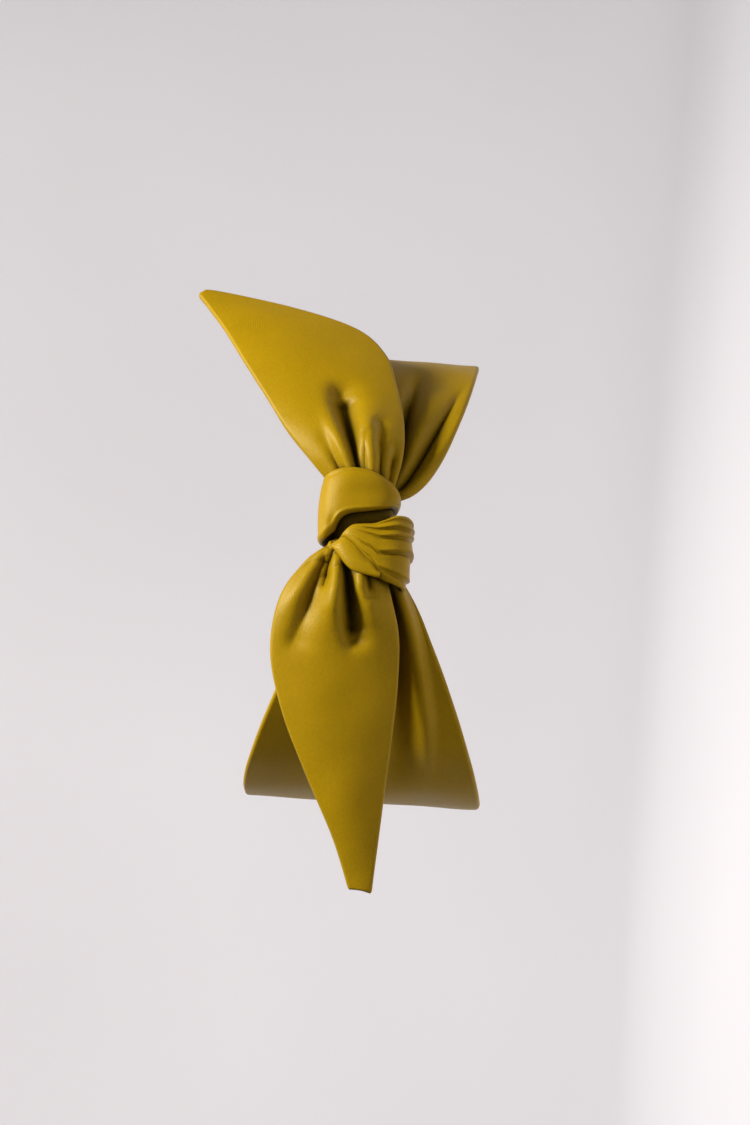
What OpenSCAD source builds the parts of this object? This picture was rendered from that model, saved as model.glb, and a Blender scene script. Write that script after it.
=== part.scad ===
// Pre-tied satin bow tie with a neck loop, in its worn position.
// +Z runs up the wearer's neck, the bow spreads along X and the knot faces -Y.
// The origin is on the neck's axis, at the middle of the band's height.

/* [Neck loop] */
// Half width of the neck loop from side to side, at the middle of the cloth
loop_half_w = 67.5; // [64:0.5:72]
// Half depth of the neck loop from front to back, at the middle of the cloth
loop_half_d = 56; // [54:0.5:58]
// Half length of the straight stretch across the nape
nape_half = 22; // [20:1:24]
// Half height of a wing where it is widest, at the side of the neck
wing_half_h = 35.5; // [28:0.5:38]
// How far the right wing rises, and the left wing drops, at the side of the neck
wing_lift = 4.5; // [0:0.5:6]
// Half height of the gathered cloth where it enters the knot
neck_gather = 7; // [6:0.5:7.5]
// Angle round the neck, from the front, at which a wing ends and the strap begins
wing_end = 132; // [126:1:138]
// Half height of the neck strap
strap_half_h = 8; // [7:0.5:8]

/* [Cloth] */
// Thickness of one satin layer
satin_t = 0.6; // [0.4:0.1:0.8]
// Thickness of the interlining between two satin layers
core_t = 0.8; // [0.4:0.1:1.2]
// Thickness of the neck strap
strap_t = 1.2; // [0.8:0.1:1.2]

/* [Knot] */
// Half depth of the knot, front to back
knot_half_d = 8.5; // [7.5:0.5:9]
// Half height of the knot
knot_half_h = 12.5; // [11.5:0.5:13.5]
// Thickness of the cloth wrapped round the knot
wrap_t = 1.2; // [0.8:0.1:1.4]

/* [Blades] */
// How far the right blade's tip is swept back from the knot
right_sweep = 29; // [20:1:34]
// How far the left blade's tip is swept back from the knot
left_sweep = 16; // [8:1:24]
// Height of the crown along the middle of a blade
blade_crown = 3; // [1:0.5:4]

/* [Hardware] */
// Radius of the wire of the eye and of the hook's and the slide's bars
wire_r = 0.7; // [0.5:0.05:0.7]
// Place of the adjuster slide along the nape
slide_x = -4; // [-8:1:-2]

/* [Hidden] */

satin = "#b39208";
satin_shade = "#8c7200";
canvas = "#e6dfc8";
metal = "#c9c9c6";
thread = "#9a7d05";
gap = 0.4;

// Stations round the neck for a wing, and across its height
wing_start = 8;
wing_steps = 18;
wing_rows = 8;
blade_steps = 14;
blade_rows = 6;

knot_y = -(loop_half_d + 2.6);
blade_y = -(loop_half_d + 6);
knot_power = 0.77;

// Edges of the blades as [x, z], from the knot to the tip
right_top = [[18.8, 13.5], [27, 23], [39, 31.5], [51, 39], [63, 46.2], [71.5, 52], [76, 55.5]];
right_low = [[18.8, -8.6], [30, -9.3], [44, -6.5], [56, -3.5], [66, 6], [73, 27], [78.5, 52.5]];
left_top = [[-11, 9.6], [-20, 21.5], [-36, 24.3], [-52, 20.3], [-70, 12], [-87, 3.2], [-101, -2.3]];
left_low = [[-20.8, -8.8], [-32, -11.8], [-45, -12.3], [-60, -11.6], [-75, -10.6], [-89, -9.8], [-101.8, -9]];

// The strap's two runs at the nape, and the bar that its folded end holds
bar_y = loop_half_d - 1.4;
fold_in_r = 0.8;
hook_bar_x = 3;
eye_bar_x = 19;
eye_tip_x = 11.2;
eye_half_h = strap_half_h + 1.4;
plate_y = bar_y - 2.4;
plate_t = 1.2;
leg_x = 14;
leg_top = loop_half_d + 1;

function ease(t) = let (c = max(0, min(1, t))) c * c * (3 - 2 * c);
function unit(v) = v / norm(v);
function flat_power(v, p) = (v < 0 ? -1 : 1) * pow(abs(v), p);

// A smooth curve through the points of a list, with t from 0 to 1
function knot_of(pts, i) = pts[max(0, min(len(pts) - 1, i))];
function through(pts, t) =
    let (s = t * (len(pts) - 1), i = min(len(pts) - 2, floor(s)), f = s - i,
        a = knot_of(pts, i - 1), b = pts[i], c = pts[i + 1], d = knot_of(pts, i + 2))
    0.5 * (2 * b + (c - a) * f + (2 * a - 5 * b + 4 * c - d) * f * f + (3 * b - a - 3 * c + d) * f * f * f);

// The neck loop's middle line at an angle from the front, and its outward normal
function loop_x(a) = abs(a) <= 90 ? loop_half_w * sin(a)
    : sign(a) * nape_half + (loop_half_w - nape_half) * sin(a);
function loop_at(a) = [loop_x(a), -loop_half_d * cos(a)];
function loop_out(a) = let (t = loop_at(a + 0.1) - loop_at(a - 0.1)) unit([t[1], -t[0]]);

// Half height of a wing at an angle from the front: the right wing flares faster than the left
flare_start = 18;
full_width_end = 96;
function share(a, lo, hi) = max(0, min(1, (a - lo) / (hi - lo)));
function wing_h(a, side) =
    let (flare = pow(sin(90 * share(a, flare_start, 90)), side > 0 ? 0.5 : 0.75),
        spread = neck_gather + (wing_half_h - neck_gather) * flare)
    spread + (strap_half_h - spread) * ease(share(a, full_width_end, wing_end));
function wing_mid(a, side) =
    side * wing_lift * share(a, 0, 90) * (1 - ease(share(a, full_width_end, wing_end)));

// Middle surface of a wing: side is 1 on the right and -1 on the left
function wing_grid(side) = [for (i = [0:wing_steps])
    let (a = wing_start + (wing_end - wing_start) * i / wing_steps, p = loop_at(side * a))
    [for (j = [0:wing_rows]) [p[0], p[1], wing_mid(a, side) + wing_h(a, side) * (2 * j / wing_rows - 1)]]];
function wing_normals(side) = [for (i = [0:wing_steps])
    let (a = wing_start + (wing_end - wing_start) * i / wing_steps, n = loop_out(side * a))
    [for (j = [0:wing_rows]) [n[0], n[1], 0]]];

// Middle surface of a blade between its two edges, crowned and swept back
function blade_depth(x, x0, x1, sweep) = sweep * pow(max(0, (abs(x) - x0) / (x1 - x0)), 1.3);
function blade_grid(top, low, x0, sweep) =
    let (x1 = abs(top[len(top) - 1][0]))
    [for (i = [0:blade_steps]) let (t = through(top, i / blade_steps), b = through(low, i / blade_steps))
        [for (j = [0:blade_rows])
            let (v = j / blade_rows, q = b + (t - b) * v,
                crown = 4 * v * (1 - v) * sin(170 * i / blade_steps))
            [q[0], blade_y + blade_depth(q[0], x0, x1, sweep) - blade_crown * crown, q[1]]]];
// Unit normals of a grid of points, facing -Y
function grid_normals(g) = [for (i = [0:len(g) - 1]) [for (j = [0:len(g[0]) - 1])
    let (du = g[min(len(g) - 1, i + 1)][j] - g[max(0, i - 1)][j],
        dv = g[i][min(len(g[0]) - 1, j + 1)] - g[i][max(0, j - 1)], n = unit(cross(du, dv)))
    n[1] > 0 ? -n : n]];

right_grid = blade_grid(right_top, right_low, 18.8, right_sweep);
left_grid = blade_grid(left_top, left_low, 11, left_sweep);

// Offset of the seam side of a satin layer: nothing at the long edges, half the core inside
function core_off(rows, s) = [for (j = [0:rows]) (j == 0 || j == rows) ? 0 : s * core_t / 2];
function skin_off(rows, s) = [for (j = [0:rows]) s * (core_t / 2 + satin_t)];

// A closed sheet between two offsets from a grid of points, using columns c0 to c1
module sheet(g, n, lo, hi, c0 = 0, c1 = -1) {
    last = c1 < 0 ? len(g[0]) - 1 : c1;
    rows = len(g);
    cols = last - c0 + 1;
    under = [for (i = [0:rows - 1]) for (j = [c0:last]) g[i][j] + n[i][j] * lo[j]];
    over = [for (i = [0:rows - 1]) for (j = [c0:last]) g[i][j] + n[i][j] * hi[j]];
    m = rows * cols;
    faces = concat(
        [for (i = [0:rows - 2]) for (j = [0:cols - 2]) each quad(i * cols + j, i * cols + j + 1,
            (i + 1) * cols + j + 1, (i + 1) * cols + j)],
        [for (i = [0:rows - 2]) for (j = [0:cols - 2]) each quad(m + i * cols + j,
            m + (i + 1) * cols + j, m + (i + 1) * cols + j + 1, m + i * cols + j + 1)],
        [for (i = [0:rows - 2]) each quad(i * cols, (i + 1) * cols, m + (i + 1) * cols, m + i * cols)],
        [for (i = [0:rows - 2]) each quad((i + 1) * cols + cols - 1, i * cols + cols - 1,
            m + i * cols + cols - 1, m + (i + 1) * cols + cols - 1)],
        [for (j = [0:cols - 2]) each quad(j + 1, j, m + j, m + j + 1)],
        [for (j = [0:cols - 2]) let (e = (rows - 1) * cols + j) each quad(e, e + 1, m + e + 1, m + e)]);
    polyhedron(concat(under, over), faces);
}
function quad(a, b, c, d) = [[a, b, c], [a, c, d]];

// The sheet above, turned the other way out where the grid runs the other way
module left_sheet(g, n, lo, hi, c0 = 0, c1 = -1) {
    rows = len(g);
    sheet([for (i = [0:rows - 1]) g[rows - 1 - i]], [for (i = [0:rows - 1]) n[rows - 1 - i]], lo, hi, c0, c1);
}

// A closed band round the X axis: rings of points, each ring a closed section
module band(rings) {
    m = len(rings);
    k = len(rings[0]);
    faces = [for (i = [0:m - 1]) for (j = [0:k - 1])
        each quad(i * k + j, i * k + (j + 1) % k, ((i + 1) % m) * k + (j + 1) % k, ((i + 1) % m) * k + j)];
    polyhedron([for (r = rings) each r], faces);
}

// Knot: the upper band's two edges and the lower wrap's two edges at an angle round X
function upper_hi(f) = 18 - 3 * abs(sin(f));
function upper_lo(f) = 4.3 - 9 * pow(max(0, sin(f)), 1.5);
function lower_hi(f) = upper_lo(f) - 0.6 - 3 * pow(max(0, -sin(f)), 1.2);
function lower_lo(f) = min(lower_hi(f) - 6, -15.2 + 8.6 * sin(f) + 4 * pow(sin(f), 2));
function knot_point(x, f, r) = [x, knot_y - (knot_half_d + r) * flat_power(cos(f), knot_power),
    (knot_half_h + r) * flat_power(sin(f), knot_power)];
function wrap_ring(x0, x1, f) = let (e = wrap_t / 3)
    [knot_point(x0, f, -wrap_t), knot_point(x0, f, -e), knot_point(x0 + e, f, 0),
        knot_point((x0 + x1) / 2, f, 0.3), knot_point(x1 - e, f, 0), knot_point(x1, f, -e),
        knot_point(x1, f, -wrap_t)];
knot_turns = 40;

module knot_upper_band() {
    color(satin)
        band([for (i = [0:knot_turns - 1]) let (f = 360 * i / knot_turns)
            wrap_ring(upper_lo(f), upper_hi(f), f)]);
}

module knot_lower_wrap() {
    color(satin)
        band([for (i = [0:knot_turns - 1]) let (f = 360 * i / knot_turns)
            wrap_ring(lower_lo(f), lower_hi(f), f)]);
}

// The end of the band, folded over the lower wrap's edge at the front
module knot_tail_fold() {
    steps = 12;
    g = [for (i = [0:steps]) let (f = -55 + 110 * i / steps)
        [for (j = [0:2]) knot_point(lower_lo(f) + 0.2 + 2.3 * j, f, 0.9 - 0.1 * abs(j - 1))]];
    n = [for (i = [0:steps]) let (f = -55 + 110 * i / steps) [for (j = [0:2]) unit([0, -cos(f), sin(f)])]];
    color(satin)
        sheet(g, n, [0, 0, 0], [1, 1, 1]);
}

// The crossed, gathered cloth inside the knot
module knot_core() {
    half_d = 3.4;
    half_h = knot_half_h - wrap_t - 1.6;
    color(satin_shade)
        translate([-11, knot_y - 2.6, 0])
            rotate([90, 0, 90])
                linear_extrude(24)
                    polygon([for (i = [0:35]) [half_d * flat_power(cos(10 * i), knot_power),
                        half_h * flat_power(sin(10 * i), knot_power)]]);
}

// Three hand stitches on the back of the knot
module knot_stitches() {
    color(thread)
        for (x = [8, 11, 14])
            translate([x, knot_y + knot_half_d + 0.7, 0])
                cube([0.6, 0.5, 4], center = true);
}

module blade_skin(g, s, side) {
    n = grid_normals(g);
    lo = s > 0 ? core_off(blade_rows, 1) : skin_off(blade_rows, -1);
    hi = s > 0 ? skin_off(blade_rows, 1) : core_off(blade_rows, -1);
    color(satin)
        if (side > 0) sheet(g, n, lo, hi);
        else left_sheet(g, n, lo, hi);
}

module blade_core(g, side) {
    n = grid_normals(g);
    lo = core_off(blade_rows, -1);
    hi = core_off(blade_rows, 1);
    color(canvas)
        if (side > 0) sheet(g, n, lo, hi, 1, blade_rows - 1);
        else left_sheet(g, n, lo, hi, 1, blade_rows - 1);
}

module blade_right_front() { blade_skin(right_grid, 1, 1); }
module blade_right_interlining() { blade_core(right_grid, 1); }
module blade_right_back() { blade_skin(right_grid, -1, 1); }
module blade_left_front() { blade_skin(left_grid, 1, -1); }
module blade_left_interlining() { blade_core(left_grid, -1); }
module blade_left_back() { blade_skin(left_grid, -1, -1); }

module wing_layer(side, s) {
    g = wing_grid(side);
    n = wing_normals(side);
    lo = s > 0 ? core_off(wing_rows, 1) : skin_off(wing_rows, -1);
    hi = s > 0 ? skin_off(wing_rows, 1) : core_off(wing_rows, -1);
    color(satin)
        if (side > 0) sheet(g, n, lo, hi);
        else left_sheet(g, n, lo, hi);
}

module wing_core(side) {
    g = wing_grid(side);
    n = wing_normals(side);
    lo = core_off(wing_rows, -1);
    hi = core_off(wing_rows, 1);
    color(canvas)
        if (side > 0) sheet(g, n, lo, hi, 1, wing_rows - 1);
        else left_sheet(g, n, lo, hi, 1, wing_rows - 1);
}

module wing_right_outer() { wing_layer(1, 1); }
module wing_right_interlining() { wing_core(1); }
module wing_right_inner() { wing_layer(1, -1); }
module wing_left_outer() { wing_layer(-1, 1); }
module wing_left_interlining() { wing_core(-1); }
module wing_left_inner() { wing_layer(-1, -1); }

// A strip of the strap between two lines, straight at the nape and curved round the neck
module strap_run(side, x_end) {
    steps = 14;
    a0 = wing_end + 0.4;
    arc = [for (i = [0:steps]) let (a = a0 + (180 - a0) * i / steps) [loop_at(side * a), loop_out(side * a)]];
    line = concat(arc, [[[x_end, loop_half_d], [0, 1]]]);
    edge = concat([for (p = line) p[0] + p[1] * strap_t / 2],
        [for (i = [len(line) - 1:-1:0]) line[i][0] - line[i][1] * strap_t / 2]);
    translate([0, 0, -strap_half_h])
        linear_extrude(2 * strap_half_h)
            polygon(edge);
}

// The half turn of strap round a bar: side is 1 where it wraps the bar's +X side
module strap_fold(x, side) {
    translate([x, bar_y, -strap_half_h])
        intersection() {
            difference() {
                cylinder(h = 2 * strap_half_h, r = fold_in_r + strap_t, $fn = 32);
                translate([0, 0, -1])
                    cylinder(h = 2 * strap_half_h + 2, r = fold_in_r, $fn = 32);
            }
            translate([side > 0 ? 0 : -5, -5, -1])
                cube([5, 10, 2 * strap_half_h + 2]);
        }
}

module strap_right() {
    color(satin) {
        strap_run(1, eye_bar_x);
        strap_fold(eye_bar_x, -1);
    }
}

// The end of the right strap, folded back under itself and sewn down
module eye_tab() {
    color(satin_shade)
        translate([eye_bar_x, bar_y - fold_in_r - strap_t, -strap_half_h])
            cube([8, strap_t, 2 * strap_half_h]);
}

module strap_left() {
    color(satin) {
        strap_run(-1, hook_bar_x);
        strap_fold(hook_bar_x, 1);
    }
}

// The run that comes back from the hook to the adjuster slide's middle bar
module strap_left_return() {
    start = slide_x + wire_r + gap;
    color(satin_shade)
        translate([start, bar_y - fold_in_r - strap_t, -strap_half_h])
            cube([hook_bar_x - start, strap_t, 2 * strap_half_h]);
}

// A round bar along Z
module bar_z(x, y, half, r) {
    translate([x, y, -half])
        cylinder(h = 2 * half, r = r, $fn = 24);
}

// Three bars between two rails: the strap lies over the middle bar and under the end bars
module adjuster_slide() {
    rail_z = strap_half_h + gap;
    inner_y = bar_y - fold_in_r - strap_t / 2;
    outer_y = loop_half_d + strap_t / 2 + gap + wire_r;
    half_l = 5;
    color(metal) {
        bar_z(slide_x, inner_y, rail_z + 0.5, wire_r);
        for (dx = [-half_l, half_l])
            bar_z(slide_x + dx, outer_y, rail_z + 0.5, wire_r);
        for (s = [-1, 1])
            translate([slide_x - half_l - wire_r, inner_y - wire_r, s > 0 ? rail_z : -rail_z - 1.6])
                cube([2 * (half_l + wire_r), outer_y - inner_y + 2 * wire_r, 1.6]);
    }
}

// A bar in the strap's fold, two arms, and a flat tongue whose end turns outward
module neck_hook() {
    arm_z = strap_half_h + gap;
    plate_start = hook_bar_x + fold_in_r + strap_t + gap;
    arm_t = 1.4;
    color(metal) {
        bar_z(hook_bar_x, bar_y, arm_z + 0.5, wire_r);
        for (s = [-1, 1])
            translate([hook_bar_x - wire_r, plate_y, s > 0 ? arm_z : -arm_z - arm_t])
                cube([plate_start + 2 - hook_bar_x + wire_r, bar_y + wire_r - plate_y, arm_t]);
        translate([plate_start, plate_y, -arm_z - arm_t])
            cube([2, plate_t, 2 * (arm_z + arm_t)]);
        translate([plate_start, plate_y, -3])
            cube([leg_x + plate_t - plate_start, plate_t, 6]);
        translate([leg_x, plate_y, -3])
            cube([plate_t, leg_top - plate_y, 6]);
    }
}

// A rectangular wire ring held in the right strap's fold
module neck_eye() {
    color(metal) {
        bar_z(eye_tip_x, bar_y, eye_half_h, wire_r);
        bar_z(eye_bar_x, bar_y, eye_half_h, wire_r);
        for (s = [-1, 1]) {
            translate([eye_tip_x, bar_y, s * eye_half_h])
                rotate([0, 90, 0])
                    cylinder(h = eye_bar_x - eye_tip_x, r = wire_r, $fn = 24);
            for (x = [eye_tip_x, eye_bar_x])
                translate([x, bar_y, s * eye_half_h])
                    sphere(r = wire_r, $fn = 24);
        }
    }
}

// Rows of short stitches across a strap
module stitches_on(x, y) {
    count = 7;
    color(thread)
        for (i = [0:count - 1])
            translate([x, y, (i - (count - 1) / 2) * 2])
                cube([0.8, 0.3, 1.2], center = true);
}

// Holds the strap's end at the slide's middle bar, so it moves with the slide
module bar_tack_left() { stitches_on(slide_x + 1.8, bar_y - fold_in_r - strap_t - 0.15); }
module bar_tack_right() { stitches_on(23, bar_y - fold_in_r - strap_t - 0.15); }

knot_upper_band();
knot_lower_wrap();
knot_tail_fold();
knot_core();
knot_stitches();
blade_right_front();
blade_right_interlining();
blade_right_back();
blade_left_front();
blade_left_interlining();
blade_left_back();
wing_right_outer();
wing_right_interlining();
wing_right_inner();
wing_left_outer();
wing_left_interlining();
wing_left_inner();
strap_right();
strap_left();
strap_left_return();
adjuster_slide();
neck_hook();
neck_eye();
eye_tab();
bar_tack_left();
bar_tack_right();
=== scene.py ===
"""Looks of a pre-tied satin bow tie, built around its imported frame.

Lengths are in millimetres in the frame's axes until mesh() turns them into metres:
+Z runs up the wearer's neck, the bow spreads along X and the knot faces -Y.
"""
import math

import bpy
import numpy as np
from mathutils import Matrix, Vector


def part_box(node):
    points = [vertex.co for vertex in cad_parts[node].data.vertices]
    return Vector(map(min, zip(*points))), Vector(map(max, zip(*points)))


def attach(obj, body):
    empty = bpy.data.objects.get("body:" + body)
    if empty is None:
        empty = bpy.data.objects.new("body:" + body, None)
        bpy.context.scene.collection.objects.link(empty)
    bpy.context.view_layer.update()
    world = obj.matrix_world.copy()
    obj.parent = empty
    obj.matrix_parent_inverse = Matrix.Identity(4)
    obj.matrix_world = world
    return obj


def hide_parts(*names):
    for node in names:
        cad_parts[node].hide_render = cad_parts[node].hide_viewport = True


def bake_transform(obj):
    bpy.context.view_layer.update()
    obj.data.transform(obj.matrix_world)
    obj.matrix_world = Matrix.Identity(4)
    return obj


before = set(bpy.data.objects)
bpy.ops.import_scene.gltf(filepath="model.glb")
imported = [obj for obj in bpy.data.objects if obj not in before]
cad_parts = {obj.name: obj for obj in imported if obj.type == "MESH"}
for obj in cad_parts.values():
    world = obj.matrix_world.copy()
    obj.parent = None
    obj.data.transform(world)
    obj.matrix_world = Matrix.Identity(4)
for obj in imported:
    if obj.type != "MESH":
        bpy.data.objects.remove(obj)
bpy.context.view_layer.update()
MM = 0.001

ROOT = "bow_and_left_strap"


def mm_box(node):
    low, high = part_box(node)
    return np.array(low) / MM, np.array(high) / MM


# ---------------------------------------------------------------- driving sizes, from the frame
SATIN_T = 0.6
CORE_T = 0.8
SKIN = CORE_T / 2 + SATIN_T
STRAP_T = 1.2
BAR_DROP = 1.4
NAPE_HALF = 22.0
WING_END = 132.0
FULL_WIDTH_END = 96.0
WING_LIFT = 4.5
FLARE_START = 9.0
GATHER_H = 8.0
# How slowly a wing's upper and lower edges flare out from the knot
WING_FLARE = {1: (1.25, 0.45), -1: (0.95, 0.75)}

wing_low, wing_high = mm_box("wing_right_outer")
LOOP_W = wing_high[0] - SKIN
WING_H = (wing_high[2] - wing_low[2]) / 2
_, strap_high = mm_box("strap_left")
LOOP_D = strap_high[1] - STRAP_T / 2
STRAP_H = strap_high[2]
knot_low, knot_high = mm_box("knot_upper_band")
KNOT_Y = (knot_low[1] + knot_high[1]) / 2
BLADE_Y = -(LOOP_D + 6.0)
BAR_Y = LOOP_D - BAR_DROP
HOOK_X = 3.0
EYE_X = 19.0
SLIDE_X = -4.0
FOLD_R = 0.8


# ---------------------------------------------------------------- small maths
def share(x, low, high):
    return np.clip((x - low) / (high - low), 0, 1)


def ease(t):
    t = np.clip(t, 0, 1)
    return t * t * (3 - 2 * t)


def curve(points, t):
    """A smooth curve through a few points, at each t from 0 to 1."""
    p = np.asarray(points, float)
    s = np.asarray(t, float) * (len(p) - 1)
    i = np.minimum(np.floor(s).astype(int), len(p) - 2)
    f = (s - i).reshape(s.shape + (1,) * (p.ndim - 1))
    a, b, c, d = (p[np.clip(i + k, 0, len(p) - 1)] for k in (-1, 0, 1, 2))
    square, cube = 2 * a - 5 * b + 4 * c - d, 3 * b - a - 3 * c + d
    return 0.5 * (2 * b + (c - a) * f + square * f**2 + cube * f**3)


def table(x, pairs):
    """A smooth curve through (place, value) pairs, which doesn't swing past them."""
    xs, ys = np.array(pairs, float).T
    rise = np.diff(ys) / np.diff(xs)
    slope = np.zeros(len(xs))
    same = rise[1:] * rise[:-1] > 0
    slope[1:-1] = np.where(same, 2 * rise[1:] * rise[:-1] / np.where(same, rise[1:] + rise[:-1], 1), 0)
    i = np.clip(np.searchsorted(xs, x) - 1, 0, len(xs) - 2)
    h = xs[i + 1] - xs[i]
    f = np.clip((x - xs[i]) / h, 0, 1)
    return (ys[i] * (1 + 2 * f) * (1 - f) ** 2 + ys[i + 1] * f * f * (3 - 2 * f)
            + h * f * (1 - f) * (slope[i] * (1 - f) - slope[i + 1] * f))


def unit(v):
    return v / np.maximum(np.linalg.norm(v, axis=-1, keepdims=True), 1e-9)


def surface_normals(grid, toward):
    """Unit normals of a grid of points, on the side that toward (a direction or directions) is on."""
    n = unit(np.cross(np.gradient(grid, axis=0), np.gradient(grid, axis=1)))
    flip = np.sign((n * toward).sum(-1, keepdims=True))
    return n * np.where(flip == 0, 1, flip)


def edge_dense(n):
    """Places from 0 to 1, closer together at both ends, where the cloth turns over its edge."""
    t = np.linspace(0, 1, n)
    return 0.35 * t + 0.65 * (0.5 - 0.5 * np.cos(math.pi * t))


def ripple(u, v, size, seed):
    """A slow, irregular unevenness, from -1 to 1, with features of about that size."""
    total = np.zeros(np.broadcast(u, v).shape)
    for k in range(5):
        angle = 2.4 * k + seed
        wave = (u * math.cos(angle) + v * math.sin(angle)) / size * (0.8 + 0.23 * k)
        total = total + np.sin(2 * math.pi * wave + 1.7 * k * seed)
    return total / 5


# ---------------------------------------------------------------- meshes
def mesh(name, verts, faces, material, uv=None):
    data = bpy.data.meshes.new(name)
    data.from_pydata((np.asarray(verts) * MM).tolist(), [], faces)
    data.polygons.foreach_set("use_smooth", [True] * len(data.polygons))
    if uv is not None:
        layer = data.uv_layers.new(name="cloth")
        index = np.empty(len(data.loops), int)
        data.loops.foreach_get("vertex_index", index)
        layer.data.foreach_set("uv", (np.asarray(uv)[index] * MM).ravel())
    data.materials.append(material)
    obj = bpy.data.objects.new(name, data)
    bpy.context.collection.objects.link(obj)
    return obj


def grid_uv(grid):
    """Distances along and across the cloth, for its weave."""
    along = np.cumsum(np.linalg.norm(np.diff(grid, axis=0, prepend=grid[:1]), axis=-1), axis=0)
    across = np.cumsum(np.linalg.norm(np.diff(grid, axis=1, prepend=grid[:, :1]), axis=-1), axis=1)
    mid = grid.shape[1] // 2
    return np.stack([np.repeat(along[:, mid : mid + 1], grid.shape[1], 1), across], -1)


def closed_sheet(name, grid, normal, low, high, material):
    """A closed sheet between two offsets from a grid of points."""
    rows, cols = grid.shape[:2]
    low, high = (np.broadcast_to(x, (rows, cols))[..., None] for x in (low, high))
    verts = np.concatenate([(grid + normal * high).reshape(-1, 3), (grid + normal * low).reshape(-1, 3)])
    i, j = np.meshgrid(np.arange(rows - 1), np.arange(cols - 1), indexing="ij")
    a = (i * cols + j).ravel()
    top = np.stack([a, a + 1, a + cols + 1, a + cols], 1)
    m = rows * cols
    rim = np.concatenate([
        np.arange(cols - 1),
        np.arange(rows - 1) * cols + cols - 1,
        (rows - 1) * cols + np.arange(cols - 1, 0, -1),
        np.arange(rows - 1, 0, -1) * cols,
    ])
    turn = np.roll(rim, -1)
    walls = np.stack([turn, rim, rim + m, turn + m], 1)
    faces = np.concatenate([top, top[:, ::-1] + m, walls])
    out = verts[faces[0]]
    if np.dot(np.cross(out[1] - out[0], out[2] - out[0]), normal[0, 0]) < 0:
        faces = faces[:, ::-1]
    uv = grid_uv(grid).reshape(-1, 2)
    return mesh(name, verts, faces.tolist(), material, np.concatenate([uv, uv]))


def closed_band(name, rings, material):
    """A band that closes on itself: rings of points, each ring a closed section."""
    m, k = rings.shape[:2]
    i, j = np.meshgrid(np.arange(m), np.arange(k), indexing="ij")
    a, b = i.ravel() * k, ((i.ravel() + 1) % m) * k
    j, n = j.ravel(), (j.ravel() + 1) % k
    faces = np.stack([a + j, a + n, b + n, b + j], 1)
    return mesh(name, rings.reshape(-1, 3), faces.tolist(), material, grid_uv(rings).reshape(-1, 2))


def rim_round(across, width, edge=1.1):
    """From 0 at the cloth's two long edges to 1 inside, as a quarter circle."""
    t = np.clip(np.minimum(across, width - across) / edge, 0, 1)
    return np.sqrt(np.maximum(1 - (1 - t) ** 2, 0))


# ---------------------------------------------------------------- materials
def node(tree, kind, **sockets):
    made = tree.nodes.new(kind)
    for key, value in sockets.items():
        made.inputs[key.replace("_", " ")].default_value = value
    return made


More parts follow.
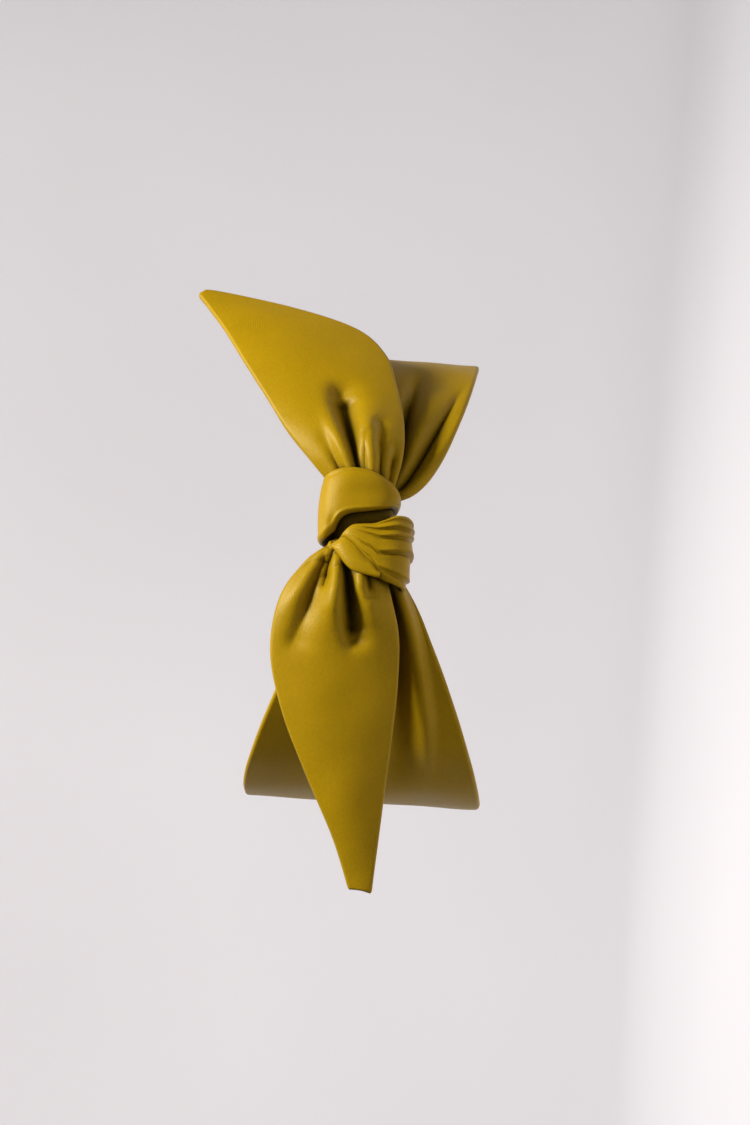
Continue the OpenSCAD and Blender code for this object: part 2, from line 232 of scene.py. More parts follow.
def cloth(name, colour, deep, rough=0.44, sheen=0.02, weave=0.3, grain=0.6):
    """Satin: a fine twill on the cloth's own UVs, slight colour variation, and painted shade in its
    creases, from an ambient-occlusion node that darkens the base colour.
    """
    mat = bpy.data.materials.new(name)
    mat.use_nodes = True
    tree = mat.node_tree
    link = tree.links.new
    shader = tree.nodes["Principled BSDF"]
    shader.inputs["Roughness"].default_value = rough
    shader.inputs["Specular IOR Level"].default_value = 0.26
    shader.inputs["Specular Tint"].default_value = (1.0, 0.86, 0.45, 1)
    shader.inputs["Sheen Weight"].default_value = sheen
    shader.inputs["Sheen Roughness"].default_value = 0.45
    shader.inputs["Sheen Tint"].default_value = (1.0, 0.83, 0.30, 1)
    uv = tree.nodes.new("ShaderNodeUVMap")
    uv.uv_map = "cloth"
    place = tree.nodes.new("ShaderNodeTexCoord")
    twill = node(tree, "ShaderNodeTexWave", Scale=900.0, Distortion=0.8, Detail=2.0, Detail_Scale=2.0)
    twill.bands_direction = "DIAGONAL"
    link(uv.outputs["UV"], twill.inputs["Vector"])
    slub = node(tree, "ShaderNodeTexNoise", Scale=1500.0, Detail=3.0, Roughness=0.6)
    link(place.outputs["Object"], slub.inputs["Vector"])
    broad = node(tree, "ShaderNodeTexNoise", Scale=55.0, Detail=3.0, Roughness=0.55)
    link(place.outputs["Object"], broad.inputs["Vector"])
    tone = tree.nodes.new("ShaderNodeMix")
    tone.data_type = "RGBA"
    tone.inputs["A"].default_value = (*deep, 1)
    tone.inputs["B"].default_value = (*colour, 1)
    mix = node(tree, "ShaderNodeMath")
    mix.operation = "ADD"
    mix.use_clamp = True
    spread = node(tree, "ShaderNodeMapRange")
    spread.inputs["From Min"].default_value = 0.3
    spread.inputs["From Max"].default_value = 0.7
    spread.inputs["To Min"].default_value = 0.45
    spread.inputs["To Max"].default_value = 0.95
    link(broad.outputs["Fac"], spread.inputs["Value"])
    fine = node(tree, "ShaderNodeMapRange")
    fine.inputs["From Min"].default_value = 0.25
    fine.inputs["From Max"].default_value = 0.75
    fine.inputs["To Min"].default_value = -0.38
    fine.inputs["To Max"].default_value = 0.38
    link(slub.outputs["Fac"], fine.inputs["Value"])
    link(spread.outputs["Result"], mix.inputs[0])
    link(fine.outputs["Result"], mix.inputs[1])
    link(mix.outputs["Value"], tone.inputs["Factor"])
    # Painted shade: ambient occlusion within 9 mm scales the base colour down to 0.16 of itself in creases
    # and hollows
    occlusion_shade = node(tree, "ShaderNodeAmbientOcclusion", Distance=0.009)
    occlusion_shade.samples = 8
    depth = node(tree, "ShaderNodeMapRange")
    depth.inputs["From Min"].default_value = 0.30
    depth.inputs["From Max"].default_value = 0.92
    depth.inputs["To Min"].default_value = 0.16
    depth.inputs["To Max"].default_value = 1.0
    link(occlusion_shade.outputs["AO"], depth.inputs["Value"])
    painted_shade = tree.nodes.new("ShaderNodeVectorMath")
    painted_shade.operation = "SCALE"
    link(tone.outputs["Result"], painted_shade.inputs[0])
    link(depth.outputs["Result"], painted_shade.inputs["Scale"])
    link(painted_shade.outputs["Vector"], shader.inputs["Base Color"])
    weave_bump = node(tree, "ShaderNodeBump", Strength=weave, Distance=0.00006)
    link(twill.outputs["Fac"], weave_bump.inputs["Height"])
    grain_bump = node(tree, "ShaderNodeBump", Strength=grain, Distance=0.00012)
    link(slub.outputs["Fac"], grain_bump.inputs["Height"])
    link(weave_bump.outputs["Normal"], grain_bump.inputs["Normal"])
    link(grain_bump.outputs["Normal"], shader.inputs["Normal"])
    return mat


def nickel(name):
    mat = bpy.data.materials.new(name)
    mat.use_nodes = True
    tree = mat.node_tree
    link = tree.links.new
    shader = tree.nodes["Principled BSDF"]
    shader.inputs["Metallic"].default_value = 1.0
    place = tree.nodes.new("ShaderNodeTexCoord")
    wear = node(tree, "ShaderNodeTexNoise", Scale=420.0, Detail=4.0, Roughness=0.7)
    link(place.outputs["Object"], wear.inputs["Vector"])
    rough = node(tree, "ShaderNodeMapRange")
    rough.inputs["To Min"].default_value = 0.24
    rough.inputs["To Max"].default_value = 0.36
    link(wear.outputs["Fac"], rough.inputs["Value"])
    link(rough.outputs["Result"], shader.inputs["Roughness"])
    tone = tree.nodes.new("ShaderNodeMix")
    tone.data_type = "RGBA"
    tone.inputs["A"].default_value = (0.60, 0.59, 0.57, 1)
    tone.inputs["B"].default_value = (0.74, 0.73, 0.71, 1)
    link(wear.outputs["Fac"], tone.inputs["Factor"])
    link(tone.outputs["Result"], shader.inputs["Base Color"])
    scratch = node(tree, "ShaderNodeBump", Strength=0.04, Distance=0.00003)
    link(wear.outputs["Fac"], scratch.inputs["Height"])
    link(scratch.outputs["Normal"], shader.inputs["Normal"])
    return mat


GOLD = (0.450, 0.266, 0.0012)
GOLD_DEEP = (0.345, 0.208, 0.0008)
SATIN = cloth("satin_gold", GOLD, GOLD_DEEP)
SATIN_BACK = cloth("satin_gold_inside", (0.36, 0.215, 0.002), (0.28, 0.165, 0.001), rough=0.55, sheen=0.08)
CANVAS = cloth("canvas", (0.72, 0.66, 0.52), (0.60, 0.54, 0.41), rough=0.9, sheen=0.0, weave=0.9)
THREAD = cloth("thread", (0.42, 0.25, 0.006), (0.30, 0.17, 0.003), rough=0.6, sheen=0.1, grain=0.8)
NICKEL = nickel("nickel")


# ---------------------------------------------------------------- the neck loop's line
def loop_at(a):
    r = np.radians(a)
    behind = np.sign(a) * NAPE_HALF + (LOOP_W - NAPE_HALF) * np.sin(r)
    x = np.where(np.abs(a) <= 90, LOOP_W * np.sin(r), behind)
    return np.stack([x, -LOOP_D * np.cos(r)], -1)


def loop_out(a):
    t = unit(loop_at(a + 0.1) - loop_at(a - 0.1))
    return np.stack([t[..., 1], -t[..., 0]], -1)


# ---------------------------------------------------------------- wings
# Folds that run out from the knot: places across the wing at the knot and at the fold's end (from
# -1 at its lower edge to 1 at its upper), half widths at both (as a share of the wing's), how far
# it runs in mm, and its height in mm (below 0 for a valley).
WING_FOLDS = {
    1: [
        (-0.52, -0.93, 0.07, 0.05, 52, -3.0), (-0.80, -1.02, 0.10, 0.10, 40, 1.6),
        (-0.12, -0.46, 0.08, 0.09, 62, -4.4), (-0.32, -0.70, 0.10, 0.11, 52, 1.8),
        (0.12, 0.02, 0.10, 0.10, 34, 2.0), (0.36, 0.30, 0.09, 0.12, 44, -2.6),
        (0.60, 0.58, 0.10, 0.12, 30, 2.0), (0.82, 0.84, 0.08, 0.08, 38, -1.6),
    ],
    -1: [
        (-0.80, -0.56, 0.09, 0.07, 72, 3.0), (-0.46, -0.26, 0.17, 0.19, 84, -6.2),
        (-0.98, -0.90, 0.05, 0.06, 30, -1.2), (-0.66, -0.55, 0.05, 0.05, 20, 0.9),
        (-0.14, -0.06, 0.12, 0.10, 40, 2.4), (0.16, 0.22, 0.10, 0.12, 46, -2.6),
        (0.46, 0.50, 0.10, 0.10, 32, 2.0), (0.74, 0.74, 0.08, 0.12, 42, -2.2),
    ],
}


def wing_surface(side, rows=190, cols=150):
    """The wing's middle surface from inside the knot to the strap, its normals and its rim."""
    a = np.linspace(6.0, WING_END, rows)[:, None]
    v = (2 * edge_dense(cols) - 1)[None, :]
    turn = np.sin(np.radians(90 * share(a, FLARE_START, 90)))
    taper = ease(share(a, FULL_WIDTH_END, WING_END))
    reach_up, reach_down = (GATHER_H + (WING_H - GATHER_H) * turn**p for p in WING_FLARE[side])
    half = (reach_up + reach_down) / 2
    mid = (reach_up - reach_down) / 2 + side * WING_LIFT * share(a, 0, 90)
    half = half + (STRAP_H - half) * taper
    mid = mid * (1 - taper)
    line, out = loop_at(side * a[:, 0]), loop_out(side * a[:, 0])
    s = np.concatenate([[0], np.cumsum(np.linalg.norm(np.diff(line, axis=0), axis=1))])[:, None]
    push = np.zeros((rows, cols))
    for v0, v1, w0, w1, reach, height in WING_FOLDS[side]:
        t = np.clip(s / reach, 0, 1)
        across = (v - (v0 + (v1 - v0) * t)) / (w0 + (w1 - w0) * t)
        fades = (1 - ease(share(s, 0.45 * reach, reach))) * ease(share(s, -4, 9))
        push += height * np.exp(-across**2) * fades
    tight = np.cos(9.5 * v + 1.1 * side) + 0.6 * np.cos(17 * v + 0.5) + 0.4 * np.cos(29 * v + 2)
    push += 0.55 * tight * np.exp(-s / 11)
    push += 0.35 * ripple(s, v * half, 30, 0.7 + side) * ease(share(s, 5, 30))
    push *= np.clip(half / 14.0, 0.45, 1)
    z = mid + half * v
    flat = np.stack([line[:, None, 0] + 0 * z, line[:, None, 1] + 0 * z, z], -1)
    outward = np.concatenate([out, np.zeros((rows, 1))], 1)[:, None, :] + np.zeros((rows, cols, 3))
    grid = flat + outward * push[..., None]
    rim = rim_round((v + 1) * half, 2 * half)
    return grid, surface_normals(grid, outward), rim


def three_layers(stem, names, grid, normal, rim, slots):
    """Front satin, interlining and back satin on one middle surface, each a piece of its own."""
    inner = CORE_T / 2 * rim
    front = closed_sheet(stem + "_face", grid, normal, inner, SKIN * rim + 0.02, SATIN)
    back = closed_sheet(stem + "_lining", grid, normal, -SKIN * rim - 0.02, -inner, SATIN_BACK)
    cut = slice(8, -8)
    tight = 0.7 * inner[:, cut] if inner.shape[0] > 1 else 0.7 * inner[0, cut]
    core = closed_sheet(stem + "_canvas", grid[:, cut], normal[:, cut], -tight, tight, CANVAS)
    for piece, name, slot in zip((front, core, back), names, slots):
        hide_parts(name)
    return front, core, back


SLOTS = ("satin", "interlining", "satin_back")
# The share of the satin's width that the interlining has, because it stops short of both edges
LAYER_WIDTHS = (1.0, 0.95, 1.0)
# Flat cuts: as long as the piece, and over the gathers as wide as the cloth is round its folds
WING_CUTS = {1: ((0.0712, 0.1325), 0.00751), -1: ((0.0712, 0.1305), 0.00787)}
for side, word in ((1, "right"), (-1, "left")):
    names = [f"wing_{word}_{layer}" for layer in ("outer", "interlining", "inner")]
    grid, normal, rim = wing_surface(side)
    layers = three_layers(f"wing_{word}", names, grid, normal, rim, SLOTS)
    flat, area = WING_CUTS[side]
    for layer, wide in zip(layers, LAYER_WIDTHS):
        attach(layer, ROOT)


# ---------------------------------------------------------------- blades
# Edges of the blades as (x, z) from inside the knot to the tip.
RIGHT_TOP = [(11, 9.5), (19, 17), (28, 24.5), (39, 31.5),
             (51, 39), (63, 46.2), (71.5, 52), (76.3, 55.6)]
RIGHT_LOW = [(11, -7), (21, -9.2), (33, -9), (46, -6.3),
             (57, -2.8), (66.5, 6.5), (73.5, 27), (78.6, 53.0)]
LEFT_TOP = [(-4, 8.2), (-11.5, 16.5), (-22, 22.7), (-37, 24.3),
            (-53, 20.0), (-70, 12), (-87, 3.2), (-101, -2.3)]
LEFT_LOW = [(-13, -6.5), (-20, -8.6), (-31, -11.6), (-44, -12.3),
            (-59, -11.7), (-74, -10.7), (-89, -9.8), (-101.8, -9)]
# Folds in the blades: start and end as (x, z), half widths at both, depth in mm (below 0 for a
# ridge), and the share of its length at which the fold begins to get shallower.
RIGHT_FOLDS = [
    ((14, 3.0), (40, 10.2), 0.8, 3.8, 6.2, 0.88), ((14, 0.7), (27, 1.4), 0.8, 1.2, 1.7, 0.35),
    ((14, -1.0), (30, 2.2), 1.0, 2.4, -1.3, 0.3), ((14, -3.0), (31, -1.4), 0.8, 1.8, 2.0, 0.35),
    ((14, -5.4), (24, -6.4), 1.0, 1.6, 2.4, 0.5), ((14, 7.0), (24, 13), 1.2, 2.8, 0.9, 0.3),
]
LEFT_FOLDS = [
    ((-7, 5.9), (-32, 1.6), 0.75, 3.2, 6.2, 0.88), ((-10, 8.9), (-18, 10.0), 0.8, 1.5, 3.0, 0.6),
    ((-11, 10.9), (-33, 17.2), 1.1, 3.9, 3.4, 0.45), ((-14, -0.8), (-21, -2.3), 0.8, 1.4, 2.1, 0.5),
    ((-10, 7.2), (-24, 8.0), 0.9, 2.4, -1.1, 0.3), ((-14, 2.4), (-27, -2.4), 0.9, 2.4, -1.1, 0.3),
]


def fold_depth(x, z, fold):
    """How deep one fold presses a blade in at each point: a hollow with a round, shallower end."""
    (x0, z0), (x1, z1), w0, w1, depth, close = fold
    long = math.hypot(x1 - x0, z1 - z0)
    dx, dz = (x1 - x0) / long, (z1 - z0) / long
    t = ((x - x0) * dx + (z - z0) * dz) / long
    near = np.clip(t, 0, 1)
    width = w0 + (w1 - w0) * near
    across = ((z - z0) * dx - (x - x0) * dz) * np.sign(dx)
    past = (t - near) * long
    r = np.hypot(past, across * np.where(across > 0, 1.3, 0.8)) / width
    ridge = 0.26 * np.exp(-(((r - 2.1) / 0.95) ** 2)) * (1 - ease(share(t, 0.35, 0.95)))
    grow = 0.5 + 0.5 * ease(share(t, 0.0, 0.7))
    shallow = 1 - 0.45 * ease(share(t, close, 1.0))
    return depth * (np.exp(-(r**1.9)) - ridge) * grow * shallow


def small_gathers(x, z, focus):
    """Fine pleats that fan out from inside the knot and die away within a few millimetres."""
    dx, dz = x - focus[0], z - focus[1]
    turn, far = np.arctan2(dz, np.abs(dx)), np.hypot(dx, dz)
    waves = np.cos(15 * turn + 0.4) + 0.7 * np.cos(24 * turn + 2.1) + 0.45 * np.cos(38 * turn + 1.0)
    return 0.24 * waves * np.exp(-np.maximum(far - 11, 0) / 7.5)


def blade_surface(side, rows=210, cols=130):
    top, low = (RIGHT_TOP, RIGHT_LOW) if side > 0 else (LEFT_TOP, LEFT_LOW)
    folds = RIGHT_FOLDS if side > 0 else LEFT_FOLDS
    sweep, x_tip, x_knot = (29, 77, 18.8) if side > 0 else (16, 101, 11)
    u = 1 - (1 - np.linspace(0, 1, rows)) ** 1.4
    v = edge_dense(cols)[None, :, None]
    t, b = curve(top, u)[:, None, :], curve(low, u)[:, None, :]
    corner, tip_run = (0.86, 0.034) if side > 0 else (0.16, 0.016)
    end = share(u, 1 - tip_run, 1)[:, None, None]
    pinch = corner * (1 - np.sqrt(1 - end**2)) / 2
    t, b = t + (b - t) * pinch, b + (t - b) * pinch
    q = b + (t - b) * v
    x, z, v = q[..., 0], q[..., 1], v[..., 0]
    back = sweep * np.maximum(0, (np.abs(x) - x_knot) / (x_tip - x_knot)) ** 1.3
    away = share(np.abs(x), x_knot, x_tip)
    crown = 4 * v * (1 - v)
    puff = 3.6 * np.exp(-((np.abs(x) - 22) / 13.0) ** 2) * crown**0.8
    body = (2.6 * np.sin(math.pi * np.clip(away * 1.05, 0, 1)) + 0.5) * crown
    y = BLADE_Y + 1.0 + back - puff - body
    for fold in folds:
        y = y + fold_depth(x, z, fold)
    y = y + small_gathers(x, z, (4 * side, 2.5))
    y = y + 0.3 * ripple(x, z, 26, 1.3 + side) * ease(share(np.abs(x), 24, 45)) * crown
    grid = np.stack([x, y, z], -1)
    normal = surface_normals(grid, np.array([0, -1.0, 0]))
    width = np.linalg.norm(t - b, axis=-1)
    rim = rim_round(v * width, width)
    tip = np.sqrt(np.maximum(1 - (1 - np.clip((1 - u) * 90 / 1.1, 0, 1)) ** 2, 0))[:, None]
    return grid, normal, np.minimum(rim, np.maximum(tip, 0.02))


BLADES = {
    1: ("right", "right_blade", (0.0433, 0.0963), 0.00351),
    -1: ("left", "left_blade", (0.0469, 0.0965), 0.00302),
}
for side, (word, body, flat, area) in BLADES.items():
    names = [f"blade_{word}_{layer}" for layer in ("front", "interlining", "back")]
    grid, normal, rim = blade_surface(side)
    layers = three_layers(f"blade_{word}", names, grid, normal, rim, SLOTS)
    for layer, wide in zip(layers, LAYER_WIDTHS):
        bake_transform(layer)


# ---------------------------------------------------------------- knot
# Places of the wraps' edges along X at angles round the knot: 0 at the front, 90 on top.
UPPER_LOW = [(-180, 1), (-120, 5), (-80, 6.1), (-25, 4.3), (5, 3.0), (20, 1.9),
             (34, -0.4), (48, -2.9), (66, -4.5), (110, -5), (150, -1), (180, 1)]
UPPER_TOP = [(-180, 14), (-100, 11), (-50, 13.2), (10, 16.4), (50, 15.6), (90, 14.4), (180, 14)]
LOWER_TOP = [(-180, 0), (-120, 2.5), (-80, 3.8), (-40, 3.2), (-15, 1.2), (0, 0.0), (20, -0.3),
             (34, -1.7), (48, -4.1), (75, -5.6), (110, -5.8), (150, -2), (180, 0)]
LOWER_LOW = [(-180, -14), (-120, -17), (-66, -17), (-30, -16.4), (-12, -15.2), (-1, -11.4), (17, -6.8),
             (36, -5.0), (52, -7.2), (75, -10.4), (110, -12), (150, -13), (180, -14)]
TONGUE_FREE = [(-14, -15.6), (-6, -15.4), (6, -14.7), (17, -14.0), (33, -11.6), (53, -7.8), (74, -4.6)]
WRAP_T = 1.2
KNOT_POWER = 0.80
UPPER_MID, UPPER_HALF = 2.0, 10.9
LOWER_MID, LOWER_HALF = -1.4, 11.2
KNOT_HALF_D = 8.3


def knot_skin(x, f, mid, half, r=0.0):
    """A point on the knot at x and at an angle round it, raised by r."""
    c, s = np.cos(np.radians(f)), np.sin(np.radians(f))
    y = KNOT_Y - (KNOT_HALF_D + r) * np.sign(c) * np.abs(c) ** KNOT_POWER
    z = mid + (half + r) * np.sign(s) * np.abs(s) ** KNOT_POWER
    return np.stack(np.broadcast_arrays(x, y, z), -1)


def wrap_band(name, low, top, mid, half, lift, material, turns=300, steps=90):
    """A wrap round the knot: its outside from edge to edge, then back along its inside."""
    f = np.linspace(-180, 180, turns, endpoint=False)[:, None]
    x0, x1 = table(f, low), table(f, top)
    s = edge_dense(steps)[None, :]
    round_off = rim_round(s * (x1 - x0), x1 - x0, 1.4) - 1
    outside = knot_skin(x0 + (x1 - x0) * s, f, mid, half, WRAP_T * 0.8 * round_off + lift(s, f))
    inside_s = np.linspace(1, 0, 24)[None, :]
    inside = knot_skin(x0 + (x1 - x0) * inside_s, f, mid, half, lift(inside_s, f) - WRAP_T)
    return closed_band(name, np.concatenate([outside, inside], 1), material)


def upper_lift(s, f):
    bulge = 0.9 * np.sin(math.pi * np.clip(s, 0, 1)) ** 0.8
    sag = -0.8 * np.exp(-(((f + 12) / 30) ** 2)) * np.exp(-(((s - 0.45) / 0.24) ** 2))
    pinch = -1.0 * np.exp(-(((f - 42) / 9) ** 2)) * np.exp(-((s / 0.16) ** 2))
    hem = 0.25 * np.exp(-(((s - 0.07) / 0.05) ** 2)) - 0.2 * np.exp(-(((s - 0.9) / 0.04) ** 2))
    return bulge + sag + pinch + hem


# Pleats across the lower wrap: the place of each, from edge to edge, and its height in mm
LOWER_PLEATS = ((0.15, 0.8), (0.45, 1.1), (0.72, 0.9), (0.84, 0.8), (0.94, 0.5))


def lower_lift(s, f):
    """Pleats that fan out from the pinch to the knot's lower side, overlapping like roof tiles."""
    fan = ease(share(-f, -24, 26)) + ease(share(f, 70, 130))
    tile = np.zeros(np.broadcast(s, f).shape)
    for place, height in LOWER_PLEATS:
        here = place + 0.03 * np.sin(np.radians(2.2 * f) + 9 * place)
        rise = ease(share(s, here - 0.022, here + 0.014))
        slope = rise * np.exp(-np.maximum(s - here, 0) / 0.12)
        groove = 0.45 * np.exp(-(((s - here + 0.035) / 0.025) ** 2))
        tile = tile + height * (slope - groove)
    bulge = 0.9 * np.sin(math.pi * np.clip(s, 0, 1)) ** 0.7
    return bulge + tile * np.clip(fan, 0, 1) - 0.8 * np.exp(-(((f - 44) / 14) ** 2))


upper = wrap_band("knot_upper_wrap", UPPER_LOW, UPPER_TOP, UPPER_MID, UPPER_HALF, upper_lift, SATIN)
lower = wrap_band("knot_pleated_wrap", LOWER_LOW, LOWER_TOP, LOWER_MID, LOWER_HALF, lower_lift, SATIN)


def tongue():
    """The band's end, which comes out from under the pleated wrap and lies over the blade's gather."""
    f = np.linspace(-14, 74, 90)[:, None]
    j = edge_dense(50)[None, :]
    free, fold = table(f, TONGUE_FREE), table(f, LOWER_LOW) + 1.6
    x = free + (fold - free) * j
    lift = 0.55 - 1.5 * j**1.5 - 0.9 * (1 - j) ** 3 + 0.5 * np.sin(math.pi * j)
    grid = knot_skin(x, f, LOWER_MID, LOWER_HALF, lift)
    normal = surface_normals(grid, np.array([0, -1.0, 0.2]))
    width = np.abs(fold - free) + 0.01
    rim = rim_round(j * width, width, 0.9)
    return closed_sheet("knot_tail_end", grid, normal, -0.6 * rim - 0.02, 0.5 * rim + 0.02, SATIN)


tail = tongue()


def core_lift(s, f):
    return 0.7 * np.sin(7 * s * math.pi + f / 40) * np.exp(-((f + 5) / 60) ** 2)


def knot_heart():
    """The crossed, gathered cloth inside the knot, seen in the gap between the wraps."""
    f = np.linspace(-180, 180, 120, endpoint=False)[:, None]
    s = np.linspace(0, 1, 60)[None, :]
    x = -12 + 24 * s
    ends = np.sqrt(np.maximum(1 - (2 * s - 1) ** 8, 0))
    skin = knot_skin(x, f, 0.6, 8.2 * ends, core_lift(s, f) * ends)
    skin[..., 1] = KNOT_Y + (skin[..., 1] - KNOT_Y) * 0.48 * ends
    verts = skin.reshape(-1, 3)
    m, k = 120, 60
    i, j = np.meshgrid(np.arange(m), np.arange(k - 1), indexing="ij")
    a, b = i.ravel() * k + j.ravel(), ((i.ravel() + 1) % m) * k + j.ravel()
    faces = np.stack([a, a + 1, b + 1, b], 1)
    return mesh("knot_inner_gather", verts, faces.tolist(), SATIN_BACK, grid_uv(skin).reshape(-1, 2))


heart = knot_heart()
for piece, cad, slot in ((upper, "knot_upper_band", "satin"), (lower, "knot_lower_wrap", "satin"),
                         (tail, "knot_tail_fold", "satin"), (heart, "knot_core", "satin_back")):
    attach(piece, ROOT)
    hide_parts(cad)


# ---------------------------------------------------------------- straps
def strap(name, line, out, material, half=STRAP_H, thick=STRAP_T):
    """A flat strap along a line of (x, y), with rounded edges and a pressed channel inside each edge."""
    cols = 70
    v = 2 * edge_dense(cols)[None, :] - 1
    grid = np.stack([line[:, None, 0] + 0 * v, line[:, None, 1] + 0 * v, half * v + 0 * line[:, :1]], -1)
    normal = np.concatenate([out, 0 * out[:, :1]], 1)[:, None, :] + 0 * grid
    across = (v + 1) * half
    channel = 0.16 * np.exp(-(((np.minimum(across, 2 * half - across) - 1.5) / 0.28) ** 2))
    face = thick / 2 * rim_round(across, 2 * half, 0.7) - channel + 0.01
    return closed_sheet(name, grid, normal, -face, face, material)


def nape_run(side, x_end):
    """The strap's line from the wing's end round the neck and along the nape."""
    a = side * np.linspace(WING_END + 0.4, 180, 110)
    line, out = loop_at(a), loop_out(a)
    x = np.linspace(side * NAPE_HALF, x_end, 40)[1:]
    flat = np.stack([x, np.full_like(x, LOOP_D)], 1)
    return np.concatenate([line, flat]), np.concatenate([out, np.tile([0.0, 1.0], (len(flat), 1))])


def bar_run(x_end, fold_side, back_to):
    """The line half round the bar at x_end and back under the nape run."""
    turn = np.radians(np.linspace(90, -90, 30))
    r = FOLD_R + STRAP_T / 2
    c = np.stack([fold_side * np.cos(turn), np.sin(turn)], 1)
    bend = np.array([x_end, BAR_Y]) + r * c
    x = np.linspace(x_end, back_to, 30)[1:]
    under = np.stack([x, np.full_like(x, BAR_Y - r)], 1)
    return np.concatenate([bend, under]), np.concatenate([c, np.tile([0.0, -1.0], (len(under), 1))])


RIGHT_STRAP = "right_strap"
nape, bar = nape_run(1, EYE_X), bar_run(EYE_X, -1, EYE_X + 8)
right_strap = strap("neck_strap_right", *(np.concatenate([a, b[1:]]) for a, b in zip(nape, bar)), SATIN)
left_strap = strap("neck_strap_left", *nape_run(-1, HOOK_X), SATIN)
left_return = strap("neck_strap_return", *bar_run(HOOK_X, 1, SLIDE_X + 1.1), SATIN)
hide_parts("strap_right", "eye_tab")
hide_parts("strap_left")
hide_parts("strap_left_return")
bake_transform(right_strap)
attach(left_strap, ROOT)
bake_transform(left_return)


# ---------------------------------------------------------------- stitches
def stitches(name, ends, radius=0.16):
    """Short thread stitches, each a small round-ended tube between two points."""
    verts, faces = [], []
    sides, rings = 8, 7
    for a, b in ends:
        a, b = np.array(a, float), np.array(b, float)
        along = unit(b - a)
        up = unit(np.cross(along, [0.3, 0.8, 0.5]))
        other = np.cross(along, up)
        start = len(verts)
        for i in range(rings):
            t = i / (rings - 1)
            r = radius * math.sqrt(max(1 - (2 * t - 1) ** 4, 0.02))
            for k in range(sides):
                w = 2 * math.pi * k / sides
                verts.append(a + (b - a) * t + (up * math.cos(w) + other * math.sin(w)) * r)
        for i in range(rings - 1):
            for k in range(sides):
                n = (k + 1) % sides
                p, q = start + i * sides, start + (i + 1) * sides
                faces.append((p + k, p + n, q + n, q + k))
        faces.append(tuple(start + k for k in reversed(range(sides))))
        faces.append(tuple(start + (rings - 1) * sides + k for k in range(sides)))
    return mesh(name, verts, faces, THREAD, np.zeros((len(verts), 2)))


def bar_tack(name, x, y):
    """A bar tack across a strap: a row of close zigzag stitches."""
    rows = np.linspace(-STRAP_H + 1.6, STRAP_H - 1.6, 22)
    return stitches(name, [((x - 0.5, y, z), (x + 0.5, y, z + 0.3)) for z in rows])


tack_y = BAR_Y - FOLD_R - STRAP_T - 0.08
tack_left = bar_tack("left_bar_tack", SLIDE_X + 1.8, tack_y)
tack_right = bar_tack("right_bar_tack", 23.0, tack_y)
knot_back = KNOT_Y + KNOT_HALF_D + 0.9
knot_ends = [((x, knot_back, -2), (x + 0.6, knot_back, 2)) for x in (7, 9, 11)]
knot_thread = stitches("knot_hand_stitches", knot_ends, 0.2)
for piece, cad, body in ((tack_left, "bar_tack_left", "slide"), (tack_right, "bar_tack_right", RIGHT_STRAP),
                         (knot_thread, "knot_stitches", ROOT)):
    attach(piece, body)
    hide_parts(cad)

for name in ("adjuster_slide", "neck_hook", "neck_eye"):
    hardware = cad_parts[name]
    hardware.data.materials.clear()
    hardware.data.materials.append(NICKEL)


# ---------------------------------------------------------------- stage, light and camera
def stage_sheet():
    """A pale round floor under the tie that curves up into a wall a long way out on every side."""
    bend, inner, height, sides = 600.0, 1500.0, 1500.0, 72
    arc = np.radians(np.linspace(0, 90, 20))
    far = np.concatenate([np.linspace(0, inner, 14)[1:], inner + bend * np.sin(arc)[1:], [inner + bend]])
    up = FLOOR_Z + np.concatenate([np.zeros(13), bend * (1 - np.cos(arc))[1:], [height]])
    turn = np.linspace(0, 2 * math.pi, sides, endpoint=False)[:, None]
    rings = np.stack([far * np.cos(turn), far * np.sin(turn), up + 0 * turn], -1)
    verts = np.concatenate([[[0, 0, FLOOR_Z]], rings.reshape(-1, 3)])
    n = len(far)
    faces = []
    for k in range(sides):
        a, b = 1 + k * n, 1 + (k + 1) % sides * n
        faces.append((0, a, b))
        faces.extend((a + r, a + r + 1, b + r + 1, b + r) for r in range(n - 1))
    mat = bpy.data.materials.new("pale_stage")
    mat.use_nodes = True
    tree = mat.node_tree
    shader = tree.nodes["Principled BSDF"]
    shader.inputs["Roughness"].default_value = 0.85
    place = tree.nodes.new("ShaderNodeTexCoord")
    cloud = node(tree, "ShaderNodeTexNoise", Scale=1.3, Detail=2.0)
    tree.links.new(place.outputs["Object"], cloud.inputs["Vector"])
    tone = tree.nodes.new("ShaderNodeMix")
    tone.data_type = "RGBA"
    tone.inputs["A"].default_value = (0.42, 0.399, 0.405, 1)
    tone.inputs["B"].default_value = (0.53, 0.506, 0.512, 1)
    tree.links.new(cloud.outputs["Fac"], tone.inputs["Factor"])
    tree.links.new(tone.outputs["Result"], shader.inputs["Base Color"])
    return mesh("floor", verts, faces, mat)


FLOOR_Z = -240.0
stage_sheet()


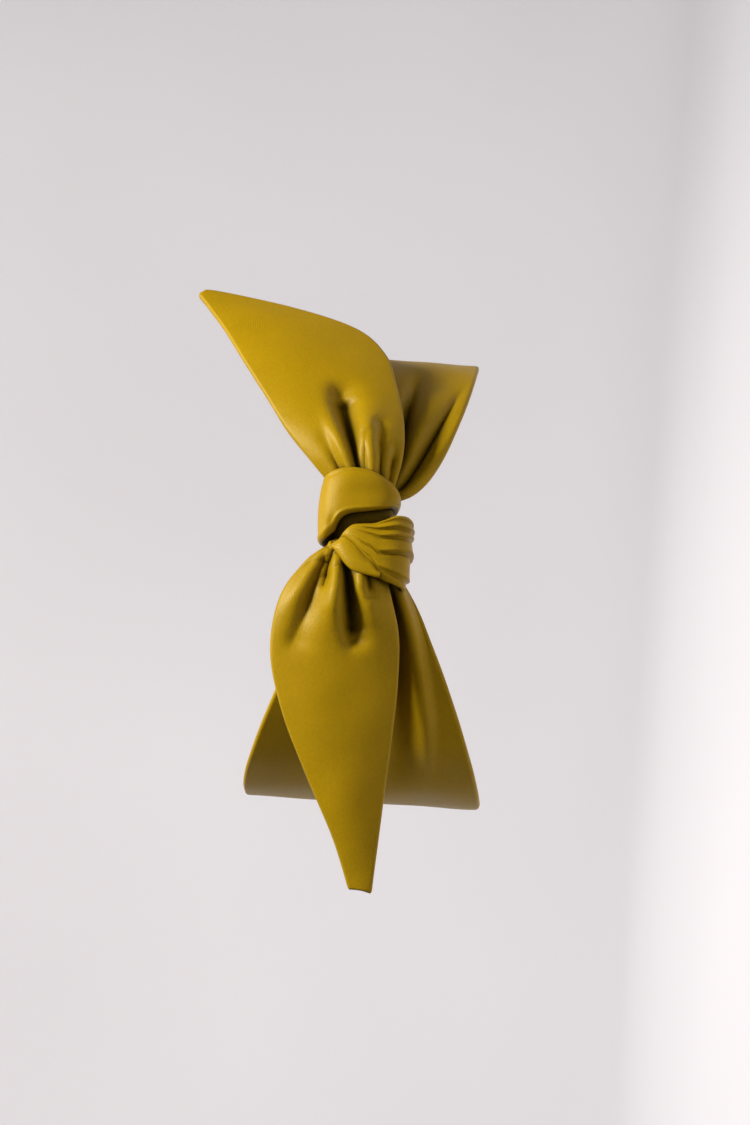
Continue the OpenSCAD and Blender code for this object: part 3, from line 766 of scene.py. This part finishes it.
def area_light(name, place, aim, size, watts, colour=(1, 1, 1)):
    data = bpy.data.lights.new(name, "AREA")
    data.shape = "DISK"
    data.size = size
    data.energy = watts
    data.color = colour
    lamp = bpy.data.objects.new(name, data)
    bpy.context.collection.objects.link(lamp)
    lamp.location = place
    away = np.array(place, float) - np.array(aim, float)
    lamp.rotation_mode = "QUATERNION"
    lamp.rotation_quaternion = Vector(away).to_track_quat("Z", "Y")
    return lamp


KNOT = np.array([0, KNOT_Y, 0]) * MM
area_light("key", (0.24, -0.36, 0.72), KNOT, 0.24, 10.6, (1.0, 0.985, 0.96))
area_light("fill", (-0.75, -0.75, 0.25), KNOT, 0.8, 0.25, (0.90, 0.95, 1.0))
area_light("backdrop", (0.0, 0.55, 1.0), (0, 2.0, 0.0), 0.8, 38.0)
area_light("backdrop_front", (0.0, -1.1, 1.0), (0, -2.1, 0.0), 0.8, 5.0)

world = bpy.data.worlds.new("studio")
bpy.context.scene.world = world
world.use_nodes = True
world.node_tree.nodes["Background"].inputs["Color"].default_value = (0.90, 0.94, 1.0, 1)
world.node_tree.nodes["Background"].inputs["Strength"].default_value = 0.06
bpy.context.scene.view_settings.view_transform = "Standard"


def camera():
    """The camera stands a little to the left blade's side, turned so that +X is up in the picture."""
    azimuth, roll, distance = math.radians(-14), math.radians(4), 0.760
    px_per_m = 3500.0
    right = np.array([math.cos(azimuth), math.sin(azimuth), 0])
    up = np.array([0, 0, 1.0])
    back = np.cross(right, up)
    pic_up = math.cos(roll) * right + math.sin(roll) * up
    pic_right = math.sin(roll) * right - math.cos(roll) * up
    aim = KNOT + pic_right * (10 / px_per_m) - pic_up * (32.5 / px_per_m)
    data = bpy.data.cameras.new("camera")
    data.lens = 85
    data.sensor_width = 36
    cam = bpy.data.objects.new("camera", data)
    bpy.context.collection.objects.link(cam)
    turn = Matrix([[pic_right[i], pic_up[i], back[i]] for i in range(3)]).to_4x4()
    turn.translation = (aim + back * distance).tolist()
    cam.matrix_world = turn
    bpy.context.scene.camera = cam


camera()
